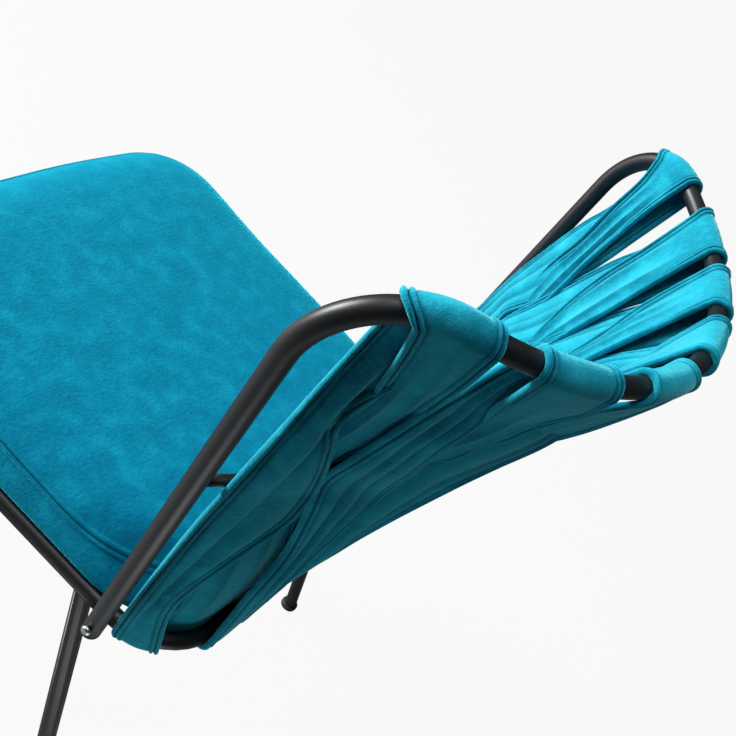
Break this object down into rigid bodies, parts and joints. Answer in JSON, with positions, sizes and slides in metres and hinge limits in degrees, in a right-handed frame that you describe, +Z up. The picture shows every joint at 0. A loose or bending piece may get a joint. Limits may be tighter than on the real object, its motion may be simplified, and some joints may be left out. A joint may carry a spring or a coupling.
{
  "type": "strap-back chair",
  "caption": "Open-frame side chair: a bent tube rail wraps the back, a padded velvet strap winds from it to the seat ring in seven wraps, over a thick cushion on splayed legs.",
  "frame": {"origin": "on the floor, under the middle of the chair's overall box", "axes": "+Z up, the sitter faces -Y, +X is the sitter's left"},
  "size_m": [0.627, 0.6216, 0.9025],
  "materials": {
    "frame_paint": "satin black powder coat",
    "glide_plastic": "matte moulded black",
    "zinc_steel": "zinc plated",
    "plywood": "raw birch plywood",
    "velvet": "teal velvet with a short shifting pile"
  },
  "bodies": {
    "root": {"rail_and_posts": "frame_paint", "seat_ring": "frame_paint", "lumbar_rod": "frame_paint", "leg_front_left": "frame_paint", "leg_front_right": "frame_paint", "leg_rear_left": "frame_paint", "leg_rear_right": "frame_paint", "glide_front_left": "glide_plastic", "glide_front_right": "glide_plastic", "glide_rear_left": "glide_plastic", "glide_rear_right": "glide_plastic", "post_bolt_left": "zinc_steel", "post_bolt_right": "zinc_steel", "post_plug_left": "glide_plastic", "post_plug_right": "glide_plastic", "seat_bar_rear": "frame_paint", "seat_bar_front": "frame_paint", "seat_board": "plywood", "seat_screw_1": "zinc_steel", "seat_screw_2": "zinc_steel", "seat_screw_3": "zinc_steel", "seat_screw_4": "zinc_steel", "seat_cushion": "velvet", "back_band_1": "velvet", "back_band_2": "velvet", "back_band_3": "velvet", "back_band_4": "velvet", "back_band_5": "velvet", "back_band_6": "velvet", "back_band_7": "velvet"}
  },
  "joints": []
}
